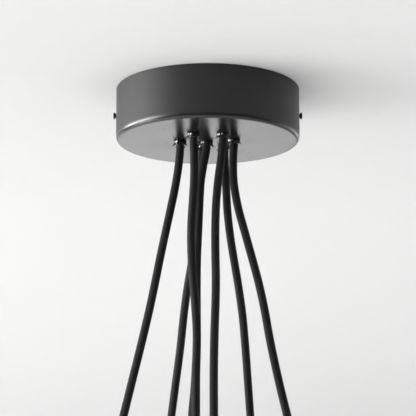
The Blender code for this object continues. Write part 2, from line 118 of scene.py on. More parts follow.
# ------------------------------------------------------------------ materials
class Look:
    """A Principled material and short ways to add nodes to it."""

    def __init__(self, name, colour=(0.5, 0.5, 0.5), roughness=0.5, metallic=0.0, **other):
        self.mat = bpy.data.materials.new(name)
        self.mat.use_nodes = True
        self.tree = self.mat.node_tree
        self.shader = self.tree.nodes["Principled BSDF"]
        self.set("Base Color", (*colour, 1.0))
        self.set("Roughness", roughness)
        self.set("Metallic", metallic)
        for socket, value in other.items():
            self.set(socket.replace("_", " "), value)
        self.where = None

    def set(self, socket, value):
        self.shader.inputs[socket].default_value = value

    def node(self, kind, **values):
        made = self.tree.nodes.new(kind)
        for name, value in values.items():
            if name in ("operation", "blend_type", "data_type", "wave_type",
                        "bands_direction", "rings_direction", "wave_profile",
                        "feature", "noise_dimensions", "interpolation_type", "uv_map",
                        "attribute_name", "attribute_type", "clamp", "use_clamp"):
                setattr(made, name, value)
            else:
                made.inputs[name].default_value = value
        return made

    def link(self, a, b):
        self.tree.links.new(a, b)

    def object_place(self):
        if self.where is None:
            self.where = self.node("ShaderNodeTexCoord")
        return self.where.outputs["Object"]

    def noise(self, scale, detail=2.0, roughness=0.5, vector=None, stretch=None):
        made = self.node("ShaderNodeTexNoise", Scale=scale, Detail=detail,
                         Roughness=roughness)
        source = vector or self.object_place()
        if stretch is not None:
            fit = self.node("ShaderNodeMapping", Scale=stretch)
            self.link(source, fit.inputs["Vector"])
            source = fit.outputs["Vector"]
        self.link(source, made.inputs["Vector"])
        return made.outputs["Fac"]

    def spread(self, value, low, high, source_low=0.3, source_high=0.7):
        made = self.node("ShaderNodeMapRange")
        made.clamp = True
        made.inputs["From Min"].default_value = source_low
        made.inputs["From Max"].default_value = source_high
        made.inputs["To Min"].default_value = low
        made.inputs["To Max"].default_value = high
        self.link(value, made.inputs["Value"])
        return made.outputs["Result"]

    def mixed(self, factor, colour_a, colour_b):
        made = self.node("ShaderNodeMix", data_type="RGBA")
        made.inputs[6].default_value = (*colour_a, 1.0)
        made.inputs[7].default_value = (*colour_b, 1.0)
        self.link(factor, made.inputs[0])
        return made.outputs[2]

    def math(self, operation, a, b=None):
        made = self.node("ShaderNodeMath", operation=operation)
        for socket, value in zip(made.inputs, (a, b)):
            if value is None:
                continue
            if isinstance(value, (int, float)):
                socket.default_value = value
            else:
                self.link(value, socket)
        return made.outputs[0]

    def bump(self, height, strength, distance):
        made = self.node("ShaderNodeBump", Strength=strength, Distance=distance)
        self.link(height, made.inputs["Height"])
        self.link(made.outputs["Normal"], self.shader.inputs["Normal"])

    def to(self, output, socket):
        self.link(output, self.shader.inputs[socket])


def powder_coat(name, tone, roughness, peel=0.10, face=None):
    """Satin powder coat: a fine orange peel, and gloss that varies a little.
    face is the roughness of the canopy's flat underside, where the powder
    flowed out smoother than on the drawn wall."""
    look = Look(name, (tone, tone, tone * 1.02), roughness)
    look.set("IOR", 1.5)
    peeled = look.noise(900.0, 2.0, 0.55)
    broad = look.noise(18.0, 3.0, 0.6)
    grain = look.noise(4200.0, 1.0)
    gloss = look.spread(broad, roughness - 0.025, roughness + 0.025)
    if face is not None:
        place = look.node("ShaderNodeSeparateXYZ")
        look.link(look.object_place(), place.inputs[0])
        low = look.spread(place.outputs[2], 1.0, 0.0, -0.0498, -0.0462)
        gloss = look.math("ADD", gloss, look.math("MULTIPLY", low, face - roughness))
    look.to(gloss, "Roughness")
    look.to(look.mixed(look.spread(grain, 0.0, 1.0),
                       (tone * 0.85, tone * 0.85, tone * 0.87),
                       (tone * 1.15, tone * 1.15, tone * 1.17)), "Base Color")
    look.bump(peeled, peel, 0.0004)
    return look.mat


def zinc_plate(name):
    look = Look(name, (0.66, 0.66, 0.64), 0.34, 1.0)
    streaks = look.noise(260.0, 3.0, 0.6, stretch=(0.06, 1.0, 1.0))
    cloud = look.noise(45.0, 4.0, 0.6)
    look.to(look.spread(cloud, 0.26, 0.46), "Roughness")
    look.to(look.mixed(look.spread(cloud, 0.0, 1.0), (0.58, 0.59, 0.58),
                       (0.74, 0.74, 0.71)), "Base Color")
    look.bump(streaks, 0.12, 0.0002)
    return look.mat


def black_oxide(name):
    look = Look(name, (0.014, 0.014, 0.015), 0.34, 0.45)
    cloud = look.noise(500.0, 3.0)
    look.to(look.spread(cloud, 0.27, 0.43), "Roughness")
    look.bump(cloud, 0.08, 0.0002)
    return look.mat


def moulded(name, colour, roughness, grain=0.06, scale=1600.0):
    """Moulded plastic: a faint spark-eroded grain and slight flow marks."""
    look = Look(name, colour, roughness)
    flow = look.noise(120.0, 3.0, 0.6)
    fine = look.noise(scale, 2.0)
    look.to(look.spread(flow, max(0.02, roughness - 0.04), roughness + 0.05), "Roughness")
    light = tuple(min(1.0, c * 1.12) for c in colour)
    dark = tuple(c * 0.9 for c in colour)
    look.to(look.mixed(look.spread(flow, 0.0, 1.0), dark, light), "Base Color")
    look.bump(fine, grain, 0.0003)
    return look.mat


def braided_cotton(name):
    """Yarns of the braid: filaments along each strand, from the tube's own
    coordinates (around, along), in strand widths."""
    look = Look(name, (0.004, 0.004, 0.0043), 0.34)
    look.set("IOR", 1.30)
    look.set("Sheen Weight", 0.0)
    look.set("Sheen Roughness", 0.4)
    look.set("Sheen Tint", (0.75, 0.75, 0.78, 1.0))
    uv = look.node("ShaderNodeUVMap", uv_map="braid")
    parts = look.node("ShaderNodeSeparateXYZ")
    look.link(uv.outputs["UV"], parts.inputs[0])
    around, along = parts.outputs[0], parts.outputs[1]
    left = look.math("ADD", around, along)
    right = look.math("SUBTRACT", around, along)
    parity = look.math("MODULO", look.math("ADD", look.math("FLOOR", left),
                                           look.math("FLOOR", right)), 2.0)
    over = look.math("ABSOLUTE", parity)
    # filaments: six to a strand, across whichever strand is on top
    across_a = look.math("SINE", look.math("MULTIPLY", left, 2 * math.pi * 5))
    across_b = look.math("SINE", look.math("MULTIPLY", right, 2 * math.pi * 5))
    pick = look.node("ShaderNodeMix", data_type="FLOAT")
    look.link(over, pick.inputs[0])
    look.link(across_a, pick.inputs[2])
    look.link(across_b, pick.inputs[3])
    thread = pick.outputs[0]
    fuzz = look.noise(2600.0, 3.0, 0.7)
    height = look.math("ADD", look.math("MULTIPLY", thread, 0.5), fuzz)
    # each crossing is a glossy crown with dull gaps round it; the crown's base colour is painted
    # lighter as a painted highlight, and the gaps painted near black as painted shade
    crown = look.math("MULTIPLY", *[
        look.math("SINE", look.math("MULTIPLY", look.math("FRACT", side), math.pi))
        for side in (left, right)])
    crown = look.spread(crown, 0.0, 1.0, 0.25, 0.85)
    which = look.node("ShaderNodeCombineXYZ")
    look.link(look.math("FLOOR", left), which.inputs[0])
    look.link(look.math("FLOOR", right), which.inputs[1])
    chance = look.node("ShaderNodeTexWhiteNoise", noise_dimensions="3D")
    look.link(which.outputs[0], chance.inputs["Vector"])
    crown_gloss_and_painted_light = look.math("MULTIPLY", crown, look.spread(chance.outputs["Value"], 0.45, 1.0, 0.25, 0.85))
    # base colour: a painted highlight on each crown and painted shade in the gaps, with a random tone
    # per crossing
    look.to(look.mixed(crown_gloss_and_painted_light, (0.0005, 0.0005, 0.0006), (0.016, 0.016, 0.017)), "Base Color")
    look.to(look.spread(crown_gloss_and_painted_light, 0.65, 0.26, 0.0, 1.0), "Roughness")
    look.bump(height, 0.7, 0.00009)
    return look.mat


def clear_glass(name):
    look = Look(name, (0.965, 0.985, 0.98), 0.0, Transmission_Weight=1.0, IOR=1.48)
    wave = look.noise(26.0, 2.0, 0.4)
    look.bump(wave, 0.05, 0.004)
    return look.mat


def opal_glass(name):
    look = Look(name, (0.93, 0.92, 0.885), 0.24)
    look.set("Subsurface Weight", 0.25)
    look.set("Subsurface Radius", (0.006, 0.005, 0.004))
    look.set("Coat Weight", 0.4)
    look.set("Coat Roughness", 0.06)
    cloud = look.noise(60.0, 3.0)
    look.to(look.mixed(look.spread(cloud, 0.0, 1.0), (0.91, 0.90, 0.865),
                       (0.95, 0.94, 0.905)), "Base Color")
    return look.mat


def bright_metal(name, colour, roughness):
    look = Look(name, colour, roughness, 1.0)
    cloud = look.noise(350.0, 3.0)
    look.to(look.spread(cloud, roughness - 0.06, roughness + 0.1), "Roughness")
    look.bump(cloud, 0.05, 0.0002)
    return look.mat


def core_insulation(name, colour, stripe=None):
    look = Look(name, colour, 0.42)
    fine = look.noise(900.0, 2.0)
    if stripe is not None:
        uv = look.node("ShaderNodeUVMap", uv_map="braid")
        parts = look.node("ShaderNodeSeparateXYZ")
        look.link(uv.outputs["UV"], parts.inputs[0])
        turn = look.math("FRACT", look.math("ADD", parts.outputs[0], parts.outputs[1]))
        band = look.math("GREATER_THAN", turn, 0.6)
        look.to(look.mixed(band, colour, stripe), "Base Color")
    look.to(look.spread(fine, 0.36, 0.48), "Roughness")
    return look.mat


CUP_PAINT = powder_coat("canopy_powder_coat", 0.004, 0.50, face=0.26)
CAP_PAINT = powder_coat("cap_powder_coat", 0.012, 0.38)
ZINC = zinc_plate("bright_zinc_plate")
SCREW_BLACK = black_oxide("black_oxide_steel")
NYLON = moulded("gloss_nylon", (0.0015, 0.0015, 0.0016), 0.14, 0.03)
BRAID = braided_cotton("braided_sleeve")
HOLDER = moulded("holder_thermoplastic", (0.018, 0.018, 0.0185), 0.46, 0.12)
RING_PAINT = moulded("ring_thermoplastic", (0.016, 0.016, 0.0165), 0.40, 0.10)
BLOCK_WHITE = moulded("terminal_nylon", (0.82, 0.82, 0.79), 0.38, 0.05)
BRASS = bright_metal("turned_brass", (0.74, 0.55, 0.27), 0.26)
NICKEL = bright_metal("nickel_plate", (0.70, 0.69, 0.66), 0.22)
GLASS = clear_glass("blown_clear_glass")
OPAL = opal_glass("opal_bulb_glass")
INSULATOR = moulded("black_vitrite", (0.006, 0.006, 0.007), 0.2, 0.02)
SHRINK = moulded("crimp_sleeve", (0.06, 0.06, 0.065), 0.5, 0.1)
CORE_BROWN = core_insulation("core_brown", (0.17, 0.065, 0.022))
CORE_BLUE = core_insulation("core_blue", (0.05, 0.16, 0.42))
CORE_EARTH = core_insulation("core_earth", (0.09, 0.36, 0.06), (0.78, 0.66, 0.03))


# ------------------------------------------------------------------- geometry
def rounded(points, scale=MM, step=12.0, support=0.3):
    """A profile with its corners filleted. Each point is (r, z) or
    (r, z, fillet radius), in millimetres. Straight runs get a support point
    near each fillet, so flats shade flat."""
    corners = [(Vector((p[0], p[1])), p[2] if len(p) > 2 else 0.0) for p in points]
    out = []
    for i, (here, radius) in enumerate(corners):
        if radius <= 0 or i in (0, len(corners) - 1):
            out.append(here)
            continue
        before, after = corners[i - 1][0] - here, corners[i + 1][0] - here
        la, lb = before.length, after.length
        a, b = before / la, after / lb
        half = math.acos(max(-1.0, min(1.0, a.dot(b)))) / 2
        if half > math.radians(89):
            out.append(here)
            continue
        run = min(radius / math.tan(half), la * 0.49, lb * 0.49)
        true = run * math.tan(half)
        centre = here + (a + b).normalized() * (true / math.sin(half))
        start, stop = here + a * run, here + b * run
        sweep = math.pi - 2 * half
        count = max(2, math.ceil(math.degrees(sweep) / step))
        va, vb = start - centre, stop - centre
        extra = min(support, (la - run) * 0.2)
        if extra > 0.02:
            out.append(start + a * extra)
        for k in range(count + 1):
            t = k / count
            mix = (va * math.sin((1 - t) * sweep) + vb * math.sin(t * sweep)) / math.sin(sweep)
            out.append(centre + mix)
        extra = min(support, (lb - run) * 0.2)
        if extra > 0.02:
            out.append(stop + b * extra)
    return [(max(0.0, p.x) * scale, p.y * scale) for p in out]


def lathe(name, profile, sides, looks=(), closed=True, shape=None, zone=None,
          sharp=40.0):
    """Turns a profile round Z. shape(angle, r, z) may change the radius, and
    zone(r, z) picks the material slot."""
    verts, rings = [], []
    for r, z in profile:
        if r < 1e-8:
            rings.append([len(verts)])
            verts.append((0.0, 0.0, z))
            continue
        ring = []
        for k in range(sides):
            angle = 2 * math.pi * k / sides
            rr = shape(angle, r, z) if shape else r
            ring.append(len(verts))
            verts.append((rr * math.cos(angle), rr * math.sin(angle), z))
        rings.append(ring)
    faces, slots = [], []
    pairs = list(zip(range(len(rings) - 1), range(1, len(rings))))
    if closed:
        pairs.append((len(rings) - 1, 0))
    for i, j in pairs:
        a, b = rings[i], rings[j]
        if len(a) == 1 and len(b) == 1:
            continue
        mid_r = (profile[i][0] + profile[j][0]) / 2
        mid_z = (profile[i][1] + profile[j][1]) / 2
        slot = zone(mid_r, mid_z) if zone else 0
        for k in range(sides):
            n = (k + 1) % sides
            if len(a) == 1:
                faces.append((a[0], b[k], b[n]))
            elif len(b) == 1:
                faces.append((a[k], b[0], a[n]))
            else:
                faces.append((a[k], b[k], b[n], a[n]))
            slots.append(slot)
    mesh = bpy.data.meshes.new(name)
    mesh.from_pydata(verts, [], faces)
    mesh.polygons.foreach_set("material_index", slots)
    return finished(name, mesh, looks, sharp)


def finished(name, mesh, looks, sharp=40.0, weld=1e-7):
    """A linked object from a mesh: welded, facing outwards, smooth shaded."""
    made = bmesh.new()
    made.from_mesh(mesh)
    bmesh.ops.remove_doubles(made, verts=made.verts, dist=weld)
    bmesh.ops.recalc_face_normals(made, faces=made.faces)
    made.to_mesh(mesh)
    made.free()
    mesh.materials.clear()
    for look in looks:
        mesh.materials.append(look)
    mesh.shade_smooth()
    mesh.set_sharp_from_angle(angle=math.radians(sharp))
    obj = bpy.data.objects.new(name, mesh)
    bpy.context.scene.collection.objects.link(obj)
    return obj


def block(name, size, looks=(), bevel=0.0, segments=3, centre=(0, 0, 0)):
    """A box in millimetres with rounded edges."""
    mesh = bpy.data.meshes.new(name)
    made = bmesh.new()
    bmesh.ops.create_cube(made, size=1.0)
    bmesh.ops.scale(made, vec=Vector(size) * MM, verts=made.verts)
    if bevel:
        bmesh.ops.bevel(made, geom=list(made.edges), offset=bevel * MM,
                        segments=segments, profile=0.5, affect="EDGES")
    bmesh.ops.translate(made, vec=Vector(centre) * MM, verts=made.verts)
    made.to_mesh(mesh)
    made.free()
    return finished(name, mesh, looks, 50.0)


def rod(name, radius, length, sides=40, looks=()):
    """A plain cylinder along Z, in millimetres, mostly a cutter."""
    mesh = bpy.data.meshes.new(name)
    made = bmesh.new()
    bmesh.ops.create_cone(made, cap_ends=True, segments=sides, radius1=radius * MM,
                          radius2=radius * MM, depth=length * MM)
    made.to_mesh(mesh)
    made.free()
    return finished(name, mesh, looks)


def joined(obj, others, operation="DIFFERENCE", sharp=40.0):
    """obj cut by, or united with, the others, which go."""
    for other in others:
        step = obj.modifiers.new(other.name, "BOOLEAN")
        step.operation = operation
        step.solver = "EXACT"
        step.object = other
    bpy.context.view_layer.update()
    graph = bpy.context.evaluated_depsgraph_get()
    mesh = bpy.data.meshes.new_from_object(obj.evaluated_get(graph))
    obj.modifiers.clear()
    obj.data = mesh
    for other in others:
        bpy.data.objects.remove(other, do_unlink=True)
    mesh.shade_smooth()
    mesh.set_sharp_from_angle(angle=math.radians(sharp))
    return obj


def smooth_route(points, spacing, inner=64):
    """Points every `spacing` along a centripetal Catmull-Rom curve."""
    knots = [Vector(p) for p in points]
    knots = [2 * knots[0] - knots[1]] + knots + [2 * knots[-1] - knots[-2]]
    fine = []
    for i in range(1, len(knots) - 2):
        p0, p1, p2, p3 = knots[i - 1:i + 3]
        t0 = 0.0
        t1 = t0 + (p1 - p0).length ** 0.5
        t2 = t1 + (p2 - p1).length ** 0.5
        t3 = t2 + (p3 - p2).length ** 0.5
        for k in range(inner):
            t = t1 + (t2 - t1) * k / inner
            a1 = p0 * ((t1 - t) / (t1 - t0)) + p1 * ((t - t0) / (t1 - t0))
            a2 = p1 * ((t2 - t) / (t2 - t1)) + p2 * ((t - t1) / (t2 - t1))
            a3 = p2 * ((t3 - t) / (t3 - t2)) + p3 * ((t - t2) / (t3 - t2))
            b1 = a1 * ((t2 - t) / (t2 - t0)) + a2 * ((t - t0) / (t2 - t0))
            b2 = a2 * ((t3 - t) / (t3 - t1)) + a3 * ((t - t1) / (t3 - t1))
            fine.append(b1 * ((t2 - t) / (t2 - t1)) + b2 * ((t - t1) / (t2 - t1)))
    fine.append(knots[-2])
    fine = np.array([list(p) for p in fine])
    lengths = np.concatenate([[0.0], np.cumsum(np.linalg.norm(np.diff(fine, axis=0), axis=1))])
    count = max(2, round(lengths[-1] / spacing))
    want = np.linspace(0.0, lengths[-1], count + 1)
    return np.stack([np.interp(want, lengths, fine[:, k]) for k in range(3)], axis=1)


def carried_frames(line):
    """Unit side vectors along a line that don't twist round it."""
    tangent = np.gradient(line, axis=0)
    tangent /= np.linalg.norm(tangent, axis=1)[:, None]
    side = np.zeros_like(line)
    first = np.array([1.0, 0.0, 0.0])
    if abs(tangent[0] @ first) > 0.9:
        first = np.array([0.0, 1.0, 0.0])
    side[0] = first - tangent[0] * (first @ tangent[0])
    side[0] /= np.linalg.norm(side[0])
    for i in range(1, len(line)):
        moved = side[i - 1] - tangent[i] * (side[i - 1] @ tangent[i])
        side[i] = moved / np.linalg.norm(moved)
    return tangent, side, np.cross(tangent, side)


def swept(name, line, radius_at, sides, looks, turns=1.0, pitch=None, twist=0.0):
    """A closed tube along a line, in metres. radius_at(angles, distances)
    gives the radius at each vertex. The UV map "braid" holds turns times the
    share of a turn, and the distance over pitch."""
    line = np.asarray(line, float)
    tangent, side, up = carried_frames(line)
    along = np.concatenate([[0.0], np.cumsum(np.linalg.norm(np.diff(line, axis=0), axis=1))])
    angle = 2 * math.pi * np.arange(sides) / sides
    grid_angle, grid_along = np.meshgrid(angle, along)
    radius = radius_at(grid_angle, grid_along)
    spin = grid_angle + twist
    points = (line[:, None, :] + radius[..., None] * (
        np.cos(spin)[..., None] * side[:, None, :] + np.sin(spin)[..., None] * up[:, None, :]))
    rows = len(line)
    verts = np.concatenate([points.reshape(-1, 3), line[[0, -1]]])
    i, k = np.meshgrid(np.arange(rows - 1), np.arange(sides), indexing="ij")
    n = (k + 1) % sides
    quads = np.stack([i * sides + k, i * sides + n, (i + 1) * sides + n,
                      (i + 1) * sides + k], axis=-1).reshape(-1, 4)
    first, last = rows * sides, rows * sides + 1
    k = np.arange(sides)
    n = (k + 1) % sides
    cap_a = np.stack([np.full(sides, first), n, k], axis=-1)
    cap_b = np.stack([np.full(sides, last), (rows - 1) * sides + k,
                      (rows - 1) * sides + n], axis=-1)
    mesh = bpy.data.meshes.new(name)
    mesh.vertices.add(len(verts))
    mesh.vertices.foreach_set("co", verts.astype(np.float32).ravel())
    corners = np.concatenate([quads.ravel(), cap_a.ravel(), cap_b.ravel()])
    starts = np.concatenate([np.arange(len(quads)) * 4,
                             len(quads) * 4 + np.arange(2 * sides) * 3])
    mesh.loops.add(len(corners))
    mesh.loops.foreach_set("vertex_index", corners.astype(np.int32))
    mesh.polygons.add(len(starts))
    mesh.polygons.foreach_set("loop_start", starts.astype(np.int32))
    mesh.update(calc_edges=True)
    # (around, along) at each corner; the last column of quads ends at a full turn
    per_turn = turns / sides
    pitch = pitch or 0.01
    column, row = np.meshgrid(np.arange(sides), np.arange(rows - 1))
    u0, u1 = column.ravel() * per_turn, (column.ravel() + 1) * per_turn
    v0, v1 = along[row.ravel()] / pitch, along[row.ravel() + 1] / pitch
    quad_uv = np.stack([np.stack([u0, v0], -1), np.stack([u1, v0], -1),
                        np.stack([u1, v1], -1), np.stack([u0, v1], -1)], axis=1)
    ends = np.zeros((2 * sides * 3, 2))
    uv = mesh.uv_layers.new(name="braid")
    uv.data.foreach_set("uv", np.concatenate([quad_uv.reshape(-1, 2), ends]).astype(np.float32).ravel())
    mesh.validate()
    mesh.materials.clear()
    for look in looks:
        mesh.materials.append(look)
    mesh.shade_smooth()
    mesh.set_sharp_from_angle(angle=math.radians(60))
    obj = bpy.data.objects.new(name, mesh)
    bpy.context.scene.collection.objects.link(obj)
    return obj


def copy_of(obj, name, matrix=None):
    """Another object of the same mesh, or of a copy moved by matrix."""
    mesh = obj.data
    if matrix is not None:
        mesh = mesh.copy()
        mesh.transform(matrix)
        mesh.name = name
    made = bpy.data.objects.new(name, mesh)
    bpy.context.scene.collection.objects.link(made)
    return made


def place(obj, matrix, body, slot, *nodes):
    obj.matrix_world = matrix
    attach(obj, body)
    if nodes:
        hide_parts(*nodes)
    return obj


def shift(x, y, z):
    return Matrix.Translation(Vector((x, y, z)) * MM)


def thread(radius, depth, pitch, low, high, hand=1):
    """A radius function with a helical groove between two heights (mm)."""
    def shape(angle, r, z):
        z_mm, r_mm = z / MM, r / MM
        if abs(r_mm - radius) > 1e-3 or not low <= z_mm <= high:
            return r
        phase = (z_mm / pitch * hand + angle / (2 * math.pi)) % 1.0
        return (radius - depth * (0.5 + 0.5 * math.cos(2 * math.pi * phase))) * MM
    return shape


def ladder(radius, top, bottom, step):
    """Close points down a straight wall, for a thread to bite on."""
    count = max(2, math.ceil(abs(top - bottom) / step))
    return [(radius, top + (bottom - top) * k / count) for k in range(count + 1)]


# --------------------------------------------------------------------- camera
camera = bpy.data.objects.new("camera", bpy.data.cameras.new("camera"))
bpy.context.scene.collection.objects.link(camera)
camera.location = (0.0002, -1.9005, -0.566)
camera.rotation_euler = (math.radians(90.0 + 13.235), 0.0, 0.0)
camera.data.sensor_width = 36.0
camera.data.lens = 2007.0 / 416.0 * 36.0
camera.data.clip_start = 0.05
camera.data.clip_end = 60.0
bpy.context.scene.camera = camera

# ---------------------------------------------------------------------- cords
# A braid of twelve strands each way: every strand runs over one and under one
# of the other hand, a diamond to each crossing.
STRANDS = 12
BRAID_PITCH = 2.45 * MM
RELIEF = 0.50 * MM


def braid_radius(angle, along):
    p = STRANDS * angle / (2 * math.pi)
    q = along / BRAID_PITCH
    left, right = p + q, p - q
    fa, fb = left - np.floor(left) - 0.5, right - np.floor(right) - 0.5
    over = (np.floor(left) + np.floor(right)) % 2 < 0.5
    across, run = np.where(over, fa, fb), np.where(over, fb, fa)
    height = np.cos(math.pi * across) ** 0.7 * (0.5 + 0.5 * np.cos(math.pi * run))
    return CORD_R * MM - RELIEF * 0.36 + RELIEF * height


HANG = {}
for key in sorted(ROUTES):
    x, y, _ = GRIPS[key]
    route = [Vector((x, y, CORD_TOP_Z)), Vector((x, y, -58))]
    route += [Vector(p) for p in ROUTES[key]]
    line = smooth_route([p * MM for p in route], BRAID_PITCH / 6)
    cord = swept("cord_%s_braid" % key, line, braid_radius, STRANDS * 5, [BRAID],
                 turns=STRANDS, pitch=BRAID_PITCH)
    body = "pendant_" + key
    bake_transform(cord)
    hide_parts("cord_" + key)
    down = (route[-1] - route[-2]).normalized()
    lean = down.to_track_quat("-Z", "Y").to_matrix().to_4x4()
    HANG[key] = Matrix.Translation(Vector(line[-1]) - down * CORD_IN_CAP * MM) @ lean

# --------------------------------------------------------------- canopy cover


def rolled_edge(in_by, steps):
    """The cup's rolled bottom edge as (r, z), from the wall to the underside."""
    a, b = CUP_EDGE_R - in_by, CUP_EDGE_H - in_by
    points = []
    for k in range(steps + 1):
        angle = math.pi / 2 * k / steps
        points.append((CUP_R - in_by - a + a * math.cos(angle),
                       -CUP_H + in_by + b - b * math.sin(angle)))
    return points


outer = [(CUP_R - CUP_WALL, 0), (CUP_R - 0.35, 0), (CUP_R, -0.35), (CUP_R, -1.0),
         (CUP_R, -CUP_H + CUP_EDGE_H + 0.6)]
outer += rolled_edge(0.0, 20) + [(CUP_R - CUP_EDGE_R - 0.6, -CUP_H), (0, -CUP_H)]
inner = [(0, -CUP_H + CUP_WALL), (CUP_R - CUP_EDGE_R - 0.6, -CUP_H + CUP_WALL)]
inner += list(reversed(rolled_edge(CUP_WALL, 8)))
inner += [(CUP_R - CUP_WALL, -CUP_H + CUP_EDGE_H + 0.6)]
cover = lathe("canopy_cover_pressed", [(r * MM, z * MM) for r, z in outer + inner], 192,
              [CUP_PAINT])
cutters = []
for key in sorted(GRIPS):
    hole = rod("hole_" + key, 5.3, 8.0, 48)
    hole.matrix_world = shift(*GRIPS[key]) @ Matrix.Rotation(0.05, 4, "Z")
    cutters.append(hole)
for side in (-1, 1):
    hole = rod("side_hole", 2.45, 8.0, 32)
    hole.matrix_world = shift(side * CUP_R, 0, SCREW_Z) @ Matrix.Rotation(math.pi / 2, 4, "Y")
    cutters.append(hole)
joined(cover, cutters)
place(cover, Matrix.Identity(4), "canopy", "black_paint", "canopy_cover")


# ----------------------------------------------------------------- side screws
def slotted(head_r, head_h, shank_r, length, pitch, name, looks, waist=0.0,
            slot_w=1.0, slot_d=1.1, sides=48):
    """A screw along Z with its head on top: z = 0 under the head."""
    points = [(0, head_h), (head_r, head_h, 0.75), (head_r - waist, 0, 0.15)]
    if waist == 0.0:
        points[-1] = (head_r, 0, 0.25)
    points += [(shank_r, 0)]
    profile = rounded(points, step=15.0, support=0.2)
    shank = ladder(shank_r, -0.4, -(length - 0.9), pitch / 5)
    profile += [(r * MM, z * MM) for r, z in shank]
    profile += [((shank_r - 0.6) * MM, -length * MM), (0, -length * MM)]
    made = lathe(name, profile, sides, looks, closed=False,
                 shape=thread(shank_r, 0.28, pitch, -(length - 0.9), -0.4), sharp=45.0)
    groove = block(name + "_slot", (head_r * 2.4, slot_w, slot_d * 2),
                   centre=(0, 0, head_h))
    return joined(made, [groove], sharp=45.0)


screw = slotted(3.5, 2.1, 2.0, 11.7, 0.7, "side_screw_right_m4", [SCREW_BLACK], waist=0.55)
other = copy_of(screw, "side_screw_left_m4")
turn = Matrix.Rotation(math.pi / 2, 4, "Y") @ Matrix.Rotation(math.radians(65), 4, "Z")
place(screw, shift(CUP_R + 0.7, 0, SCREW_Z) @ turn, "screw_right", "black_screw",
      "side_screw_right")
turn = Matrix.Rotation(-math.pi / 2, 4, "Y") @ Matrix.Rotation(math.radians(20), 4, "Z")
place(other, shift(-CUP_R - 0.7, 0, SCREW_Z) @ turn, "screw_left", "black_screw",
      "side_screw_left")


# ----------------------------------------------------------------- cord grips
def grip_finger(index):
    """One flared finger of the grip's crown, a plate that curls outwards to a
    rounded point."""
    reach, droop, lean = ((1.0, 0.0, 4), (1.12, 0.25, -7), (0.86, -0.2, 9), (1.08, 0.1, -3),
                          (0.92, 0.3, 8), (1.14, -0.15, -9))[index]
    path = [(4.75, -2.3), (5.25, -2.7), (5.8, -3.1), (6.25, -3.5), (6.65, -3.95), (6.95, -4.45),
            (7.1, -4.85)]
    path = [(4.75 + (r - 4.75) * reach, z - droop * (r - 4.75) / 2.3) for r, z in path]
    widths = [2.5, 2.3, 1.9, 1.45, 1.35, 1.3, 0.6]
    thick = [1.1, 1.1, 1.02, 0.9, 1.0, 1.1, 0.5]
    made = bmesh.new()
    rings = []
    for i, (r, z) in enumerate(path):
        a = Vector(path[max(0, i - 1)])
        b = Vector(path[min(len(path) - 1, i + 1)])
        run = (b - a).normalized()
        normal = Vector((-run.y, run.x))
        ring = []
        for k in range(12):
            angle = 2 * math.pi * k / 12
            c, s = math.cos(angle), math.sin(angle)
            across = math.copysign(abs(c) ** 0.8, c) * widths[i] / 2
            out = math.copysign(abs(s) ** 0.8, s) * thick[i] / 2
            ring.append(made.verts.new(Vector((r + normal.x * out, across,
                                               z + normal.y * out)) * MM))
        rings.append(ring)
    for a, b in zip(rings, rings[1:]):
        for k in range(12):
            made.faces.new((a[k], a[(k + 1) % 12], b[(k + 1) % 12], b[k]))
    made.faces.new(rings[0])
    made.faces.new(rings[-1])
    bmesh.ops.recalc_face_normals(made, faces=made.faces)
    mesh = bpy.data.meshes.new("finger_%d" % index)
    made.to_mesh(mesh)
    made.free()
    obj = finished("finger_%d" % index, mesh, [])
    obj.matrix_world = Matrix.Rotation(math.radians(60 * index + lean), 4, "Z")
    return obj


def knurled(angle, r, z):
    """Nibs round the grip's flange."""
    if r / MM < 5.5 or z > 0:
        return r
    bite = min(1.0, (r / MM - 5.5) / 0.6)
    return r - 0.42 * MM * bite * (0.5 + 0.5 * math.cos(11 * angle)) ** 2


bush = lathe("cord_grip_A_bush", rounded([
    (4.2, 6, 0.2), (4.9, 6, 0.3), (5.9, 3.0, 0.3), (5.9, 1.6, 0.2), (4.9, 1.6, 0.1),
    (4.9, -0.3), (6.5, -0.3, 0.3), (6.1, -2.4, 0.25), (5.4, -2.4, 0.12),
    (5.2, -4.45, 0.35), (4.2, -4.45, 0.3)], step=18.0, support=0.15), 108, [NYLON],
    shape=knurled)
joined(bush, [grip_finger(i) for i in range(6)], "UNION", sharp=50.0)
for key in sorted(GRIPS):
    grip = bush if key == "A" else copy_of(bush, "cord_grip_%s_bush" % key)
    turn = Matrix.Rotation(math.radians(47 * "ABCDEFG".index(key)), 4, "Z")
    place(grip, shift(*GRIPS[key]) @ turn, "canopy", "nylon", "cord_grip_" + key)

# --------------------------------------------------------------- ceiling strap
STRAP_HALF, STRAP_T, EAR_DROP, STRAP_W = 87.6, 2.0, 36.0, 22.0
loop = rounded([(0.001, 0), (STRAP_HALF, 0, 3.6), (STRAP_HALF, -EAR_DROP, 0.2),
                (STRAP_HALF - STRAP_T, -EAR_DROP, 0.2),
                (STRAP_HALF - STRAP_T, -STRAP_T, 1.6), (0.001, -STRAP_T)], step=15.0)
right = [(x, z) for x, z in loop]
left = [(-x, z) for x, z in reversed(loop)]
made = bmesh.new()
flat = [made.verts.new((x, -STRAP_W / 2 * MM, z)) for x, z in right + left]
face = made.faces.new(flat)
pulled = bmesh.ops.extrude_face_region(made, geom=[face])
bmesh.ops.translate(made, vec=(0, STRAP_W * MM, 0),
                    verts=[v for v in pulled["geom"] if isinstance(v, bmesh.types.BMVert)])
rims = [e for e in made.edges if len({round(v.co.y, 6) for v in e.verts}) == 1]
bmesh.ops.bevel(made, geom=rims, offset=0.22 * MM, segments=2, profile=0.5, affect="EDGES")
mesh = bpy.data.meshes.new("ceiling_bracket_strap")
made.to_mesh(mesh)
made.free()
strap = finished("ceiling_bracket_strap", mesh, [ZINC], 35.0)
cutters = []
